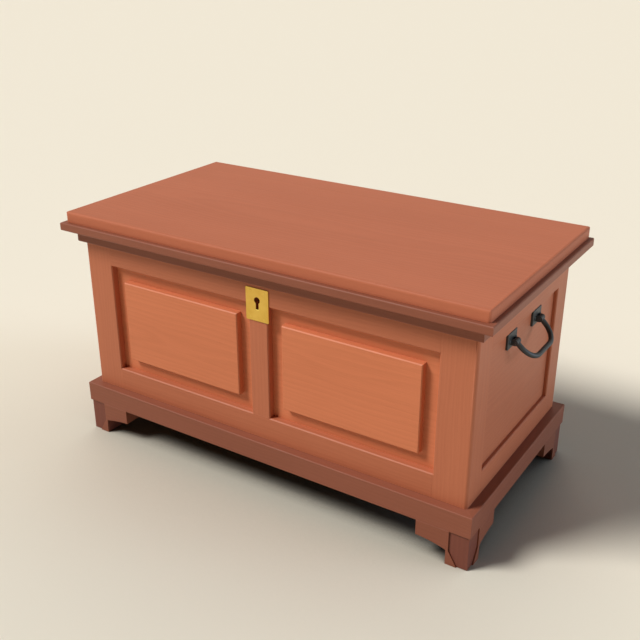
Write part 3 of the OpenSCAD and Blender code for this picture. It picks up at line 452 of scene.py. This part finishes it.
# %% Sizes in the figure
BENDS = (1.6, 7.0, 7.0)  # in a metre along, across and through the board, as in the next ones
FIBRES = (9.0, 420.0, 420.0)
PORES = (55.0, 1500.0, 1500.0)
CLOUDS = (2.2, 9.0, 9.0)
BEND_WIDTH = 0.055  # metres; how far the rings swing aside in the bends
RINGS = 120.0  # in a metre from the pith, so a ring is about 8 mm wide
YEARS = 60.0  # turns between good and poor years in a metre
UNEVEN = 0.9  # of a ring; how far good and poor years move the next rings
PORE_FROM, PORE_STEEP = 0.60, 6.0  # the noise above the first is a pore, and deepens this fast


def scaled_noise(tree, vector, scale, detail, roughness=0.5):
    """Noise whose scale differs along the three axes."""
    stretch = add(tree, "ShaderNodeMapping", Vector=vector, Scale=scale)
    return add(
        tree, "ShaderNodeTexNoise", Vector=stretch.outputs["Vector"],
        Scale=1.0, Detail=detail, Roughness=roughness,
    )


def stored(tree, name):
    """Reads what a piece's mesh stores under a name."""
    return add(tree, "ShaderNodeAttribute", attribute_name=name, attribute_type="GEOMETRY")


# %% Growth rings
figure = bpy.data.node_groups.new("figure of the wood", "ShaderNodeTree")
for name in ("Rings", "Fibres", "Pores", "Clouds"):
    figure.interface.new_socket(name, in_out="OUTPUT", socket_type="NodeSocketFloat")
exits = figure.nodes.new("NodeGroupOutput")
board = stored(figure, "board").outputs["Vector"]

# Slow bends of the trunk move the rings sideways along the board.
bends = scaled_noise(figure, board, BENDS, 2.0)
centred = add(figure, "ShaderNodeVectorMath", operation="SUBTRACT")
centred.inputs[1].default_value = (0.5, 0.5, 0.5)
figure.links.new(bends.outputs["Color"], centred.inputs[0])
bent = add(figure, "ShaderNodeVectorMath", operation="MULTIPLY")
bent.inputs[1].default_value = (0.0, BEND_WIDTH, BEND_WIDTH)
figure.links.new(centred.outputs[0], bent.inputs[0])
moved = add(figure, "ShaderNodeVectorMath", operation="ADD")
figure.links.new(board, moved.inputs[0])
figure.links.new(bent.outputs[0], moved.inputs[1])
# The distance from the pith, the middle of the trunk, says which ring a point is in.
flat_cut = add(figure, "ShaderNodeVectorMath", operation="MULTIPLY")
flat_cut.inputs[1].default_value = (0.0, 1.0, 1.0)
figure.links.new(moved.outputs[0], flat_cut.inputs[0])
length = add(figure, "ShaderNodeVectorMath", operation="LENGTH")
figure.links.new(flat_cut.outputs[0], length.inputs[0])
from_pith = length.outputs["Value"]
years = add(
    figure, "ShaderNodeTexNoise", noise_dimensions="1D", W=from_pith, Scale=YEARS, Detail=1.0,
)
uneven = math_node(figure, "MULTIPLY_ADD", years.outputs["Fac"], UNEVEN)
figure.links.new(math_node(figure, "MULTIPLY", from_pith, RINGS), uneven.node.inputs[2])
# Within a ring the early wood is light, and the late wood ends it with a dark line.
in_ring = math_node(figure, "FRACT", uneven)
late = grey_ramp(
    figure, in_ring, ends=((0.05, 0.85), (1.0, 0.75)), between=((0.80, 0.0), (0.35, 0.70)),
)
figure.links.new(late, exits.inputs["Rings"])
print("rings:", RINGS, "in a metre")

# %% Fibres, pores and clouds
fibres = scaled_noise(figure, board, FIBRES, 4.0, 0.6)
figure.links.new(fibres.outputs["Fac"], exits.inputs["Fibres"])
pores = scaled_noise(figure, board, PORES, 1.0)
open_pore = math_node(figure, "SUBTRACT", pores.outputs["Fac"], PORE_FROM, clamp=True)
deep_pore = math_node(figure, "MULTIPLY", open_pore, PORE_STEEP, clamp=True)
figure.links.new(deep_pore, exits.inputs["Pores"])
clouds = scaled_noise(figure, board, CLOUDS, 2.0)
figure.links.new(clouds.outputs["Fac"], exits.inputs["Clouds"])
print("figure of the wood:", len(figure.nodes), "nodes")

# %% [markdown]
# Stain and wax
# The maker stains the wood and rubs in wax. The stain is a little darker in the late rings and the
# pores, the wax is rubbed thin on the arrises, where bare lighter wood glows through, and the shine
# is uneven because hands polish what they touch. On the arrises a painted highlight lightens the
# colour as well. The finish therefore mixes a deep and a light colour by the figure, adds the tone
# of the board and ends with the lighter arrises, partly worn and partly painted highlight.

# %% Stain
# How far the parts of the figure move the colour, and what the first three come to on average
RING_SHARE, FIBRE_SHARE, CLOUD_SHARE, PORE_SHARE = 0.34, 0.75, 0.70, 0.35
AVERAGE = 0.90
TONE_SHARE = 0.10  # and how far the board's own tone moves it


def stain(tree, grain, deep, light, contrast):
    """The colour between deep and light that the figure and the board's tone give."""
    ring_part = math_node(tree, "MULTIPLY", grain.outputs["Rings"], RING_SHARE * contrast)
    fibre_part = math_node(tree, "MULTIPLY", grain.outputs["Fibres"], FIBRE_SHARE * contrast)
    cloud_part = math_node(tree, "MULTIPLY", grain.outputs["Clouds"], CLOUD_SHARE * contrast)
    tone_part = math_node(tree, "MULTIPLY", stored(tree, "tone").outputs["Fac"], TONE_SHARE)
    pore_part = math_node(tree, "MULTIPLY", grain.outputs["Pores"], PORE_SHARE * contrast)
    together = math_node(tree, "ADD", math_node(tree, "ADD", ring_part, fibre_part), cloud_part)
    toned = math_node(tree, "ADD", together, tone_part)
    level = math_node(tree, "ADD", toned, 0.5 - AVERAGE * contrast)
    shade = math_node(tree, "SUBTRACT", level, pore_part, clamp=True)
    return mixed(tree, shade, deep, light)


# %% Finish for wood
PATCHES = 28.0  # patches in a metre: of wear and painted highlight on the arrises, and of shine
LEAST_WEAR_AND_HIGHLIGHT, WEAR_AND_HIGHLIGHT = 0.1, 0.7  # noise below the first stays stained; how far the rest turns to the worn and painted-highlight colour
FIBRE_SHINE, PATCH_SHINE = 0.10, 0.08  # how far they make the shine uneven
PORE_DEPTH = 0.0004  # metres


def wood_finish(name, deep, light, worn_and_highlight, contrast=0.55, roughness=0.46, relief=0.16, gloss=0.22):
    """A stained board, deep to light, whose arrises are lighter by wear and a painted highlight."""
    material, tree, shader = new_material(name)
    shader.inputs["Specular IOR Level"].default_value = gloss
    grain = add(tree, "ShaderNodeGroup", node_tree=figure)
    stained = stain(tree, grain, deep, light, contrast)

    # The wax and stain rub off the arrises in patches, which also carry a painted highlight
    position = add(tree, "ShaderNodeTexCoord").outputs["Object"]
    patches = add(tree, "ShaderNodeTexNoise", Vector=position, Scale=PATCHES, Detail=3.0)
    patchy = math_node(tree, "ADD", patches.outputs["Fac"], -LEAST_WEAR_AND_HIGHLIGHT, clamp=True)
    patchy_wear_and_highlight = math_node(tree, "MULTIPLY", patchy, WEAR_AND_HIGHLIGHT)
    arris_wear_and_highlight = math_node(tree, "MULTIPLY", patchy_wear_and_highlight, stored(tree, "worn_and_highlight").outputs["Fac"], clamp=True)
    tree.links.new(mixed(tree, arris_wear_and_highlight, stained, worn_and_highlight), shader.inputs["Base Color"])

    # Fibres and hands make the shine uneven
    fibre_shine = math_node(tree, "MULTIPLY", grain.outputs["Fibres"], FIBRE_SHINE)
    patch_shine = math_node(tree, "MULTIPLY", patches.outputs["Fac"], PATCH_SHINE)
    both = math_node(tree, "ADD", fibre_shine, patch_shine)
    shine = math_node(tree, "ADD", both, roughness - (FIBRE_SHINE + PATCH_SHINE) / 2)
    tree.links.new(shine, shader.inputs["Roughness"])

    height = math_node(tree, "SUBTRACT", grain.outputs["Fibres"], grain.outputs["Pores"])
    bump = add(tree, "ShaderNodeBump", Strength=relief, Distance=PORE_DEPTH, Height=height)
    tree.links.new(bump.outputs["Normal"], shader.inputs["Normal"])
    return material


# %% Dress a wooden piece
def wooden(name, material, width, pith):
    """Eases a node's edges, stores its grain and gives it a wooden finish."""
    shape = merged_copy(name)
    before = len(shape.faces)
    made = ease(shape, width)
    store_grain(shape, name, pith)
    piece = finish_piece(name, shape, material)
    print(name, "faces", before, "eased", made, "now", len(piece.data.polygons))


# %% [markdown]
# The joined case
# Posts, rails and muntins are straight-grained, cut from beside the pith, because frame members
# must not warp. Their arrises are barely broken, so the joints stay tight and show as fine lines.

# %% Posts, rails and muntins
case_wood = wood_finish(
    "stained case wood", linear(168, 94, 64), linear(199, 120, 86), linear(202, 124, 90),
)
for name in (
    "post_front_left", "post_front_right", "post_back_left", "post_back_right",
    "front_top_rail", "front_bottom_rail", "front_muntin",
    "back_top_rail", "back_bottom_rail", "back_muntin",
    "left_top_rail", "left_bottom_rail", "right_top_rail", "right_bottom_rail",
):
    wooden(name, case_wood, width=0.0004, pith=(0.16, 0.03))

# %% [markdown]
# The panels
# Panels are wide and thin, so they are cut flat through the trunk and show arched rings. The front
# ones have a raised field whose stain came out lighter. The plain side and back panels keep the
# colour of the frame.

# %% Front, side and back panels
panel_wood = wood_finish(
    "stained panel wood", linear(191, 109, 71), linear(229, 138, 97), linear(222, 134, 94),
    contrast=0.5,
)
for name in ("front_panel_left", "front_panel_right"):
    wooden(name, panel_wood, width=0.0003, pith=(0.02, 0.05))
for name in ("left_panel", "right_panel", "back_panel_left", "back_panel_right"):
    wooden(name, case_wood, width=0.0004, pith=(0.02, 0.05))

# %% [markdown]
# The lid
# The lid is the piece that everybody touches. It is a thick plank with rounded top edges, and its
# grain runs along the chest. Waxing and wiping have left it a soft shine.

# %% Lid
lid_wood = wood_finish(
    "stained lid wood", linear(173, 98, 70), linear(204, 121, 89), linear(209, 130, 97),
    contrast=0.6, roughness=0.48, gloss=0.12,
)
wooden("lid_top", lid_wood, width=0.0006, pith=(0.03, 0.07))

# %% [markdown]
# Mouldings, plinth and feet
# The trim is stained darker than the case, which gives the chest its frame. The blocks of the feet
# are darker still.

# %% Band, mouldings, plinth and brackets
dark_wood = wood_finish(
    "dark trim wood", linear(126, 72, 52), linear(157, 94, 72), linear(163, 101, 79),
)
for name in (
    "band_front", "band_left", "band_right",
    "lid_moulding_front", "lid_moulding_left", "lid_moulding_right",
    "plinth_front", "plinth_back", "plinth_left", "plinth_right",
    "brackets_front_left", "brackets_front_right", "brackets_back_left", "brackets_back_right",
):
    wooden(name, dark_wood, width=0.0006, pith=(0.10, 0.04))

# %% Foot blocks
foot_wood = wood_finish(
    "foot block wood", linear(107, 60, 48), linear(137, 78, 62), linear(143, 85, 69),
)
for name in (
    "foot_block_front_left", "foot_block_front_right",
    "foot_block_back_left", "foot_block_back_right",
):
    wooden(name, foot_wood, width=0.0009, pith=(0.06, 0.05))

# %% [markdown]
# Inside and underneath
# The boards of the bottom, the cleats, the glue blocks and the two battens that keep the lid flat
# are of a pale cheap wood, and nobody stains them. They darken only a little with age.

# %% Bottom boards, cleats, glue blocks and battens
inner_wood = wood_finish(
    "bare inner wood", linear(186, 142, 92), linear(221, 184, 134), linear(228, 196, 150),
    contrast=0.9, roughness=0.62, relief=0.22,
)
for name in ("bottom_boards", "bottom_cleats", "glue_blocks", "lid_battens"):
    wooden(name, inner_wood, width=0.0006, pith=(0.03, 0.06))

# %% [markdown]
# Metal
# The escutcheon is brass that was polished once and has dulled since. The bails and their plates
# are forged iron, blackened in oil: the hammer left shallow facets, and the plates' edges are
# lighter, partly rubbed bright and partly a painted highlight. Screws, hinges and the lock are plain
# steel. A metal takes its looks from its roughness, so that is where the detail goes: brush marks,
# dull clouds and small dents.

# %% Finish for metal
DULL_CLOUDS = 60.0  # in a metre
BRUSH_MARKS = (40.0, 900.0, 1400.0)  # in a metre along the three axes
CLOUD_SHINE = 0.18  # how far the clouds make the shine uneven
EDGE_SHARE, EDGE_GLEAM = 0.6, 1.5  # how far an eased edge is a lighter metal, worn and painted highlight, and how light that is
DENT_DEPTH = 0.001  # metres


def metal_finish(name, deep, light, roughness, dents, dent_count, metallic=1.0, brushed=0.0):
    """A metal between deep and light in clouds, with dents this strong and so many in a metre."""
    material, tree, shader = new_material(name)
    shader.inputs["Metallic"].default_value = metallic
    position = add(tree, "ShaderNodeTexCoord").outputs["Object"]
    clouds = add(tree, "ShaderNodeTexNoise", Vector=position, Scale=DULL_CLOUDS, Detail=4.0)
    colour = mixed(tree, clouds.outputs["Fac"], deep, light)
    # Eased edges are lighter: partly rubbed metal, partly a painted highlight.
    gleam = tuple(min(1.0, channel * EDGE_GLEAM) for channel in light[:3]) + (1.0,)
    edge_part = math_node(tree, "MULTIPLY", stored(tree, "worn_and_highlight").outputs["Fac"], EDGE_SHARE)
    tree.links.new(mixed(tree, edge_part, colour, gleam), shader.inputs["Base Color"])

    strokes = scaled_noise(tree, position, BRUSH_MARKS, 2.0)
    stroke_part = math_node(tree, "MULTIPLY", strokes.outputs["Fac"], brushed)
    cloud_part = math_node(tree, "MULTIPLY", clouds.outputs["Fac"], CLOUD_SHINE)
    both = math_node(tree, "ADD", stroke_part, cloud_part)
    shine = math_node(tree, "ADD", both, roughness - (CLOUD_SHINE + brushed) / 2)
    tree.links.new(shine, shader.inputs["Roughness"])

    hammer = add(
        tree, "ShaderNodeTexVoronoi", feature="SMOOTH_F1",
        Vector=position, Scale=dent_count, Smoothness=1.0,
    )
    bump = add(
        tree, "ShaderNodeBump", Strength=dents, Distance=DENT_DEPTH,
        Height=hammer.outputs["Distance"],
    )
    tree.links.new(bump.outputs["Normal"], shader.inputs["Normal"])
    return material


# %% Dress a metal piece
def metal_piece(name, material, width=0.0, rims=True):
    """A smooth copy of a metal node, with its edges eased where a width is given."""
    shape = merged_copy(name)
    if width:
        ease(shape, width, rims)
    piece = finish_piece(name, shape, material)
    print(name, "faces", len(piece.data.polygons))


# %% Brass escutcheon
brass = metal_finish(
    "aged brass", linear(214, 168, 70), linear(240, 204, 106), roughness=0.42,
    dents=0.04, dent_count=260, brushed=0.08,
)
metal_piece("escutcheon", brass, width=0.0004, rims=False)
metal_piece("escutcheon_pins", brass, width=0.0003)

# %% Iron handles
iron = metal_finish(
    "blackened iron", linear(48, 50, 51), linear(80, 83, 84), roughness=0.48,
    dents=0.25, dent_count=170, metallic=0.6,
)
metal_piece("handle_plates", iron, width=0.0004, rims=False)
for name in ("handle_pins", "handle_bolts", "handle_nuts"):
    metal_piece(name, iron, width=0.0003)
for name in ("bail_left", "bail_right"):
    metal_piece(name, iron)

# %% Steel hinges, lock and screws
steel = metal_finish(
    "plain steel", linear(128, 126, 122), linear(168, 166, 162), roughness=0.38,
    dents=0.05, dent_count=300, brushed=0.15,
)
for name in ("hinge_case_leaves", "hinge_lid_leaves", "lock_case", "lock_bolt", "lock_staples"):
    metal_piece(name, steel, width=0.0002)
for name in ("hinge_pins", "case_screws", "lid_screws"):
    metal_piece(name, steel)

# %% [markdown]
# Sizes
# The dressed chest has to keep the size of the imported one, so both boxes are written side by side.

# %% Sizes and the end
seen_low, seen_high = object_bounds()
for axis, name in enumerate("xyz"):
    packed, dressed = cad_high[axis] - cad_low[axis], seen_high[axis] - seen_low[axis]
    print(name, round(packed, 4), round(dressed, 4))
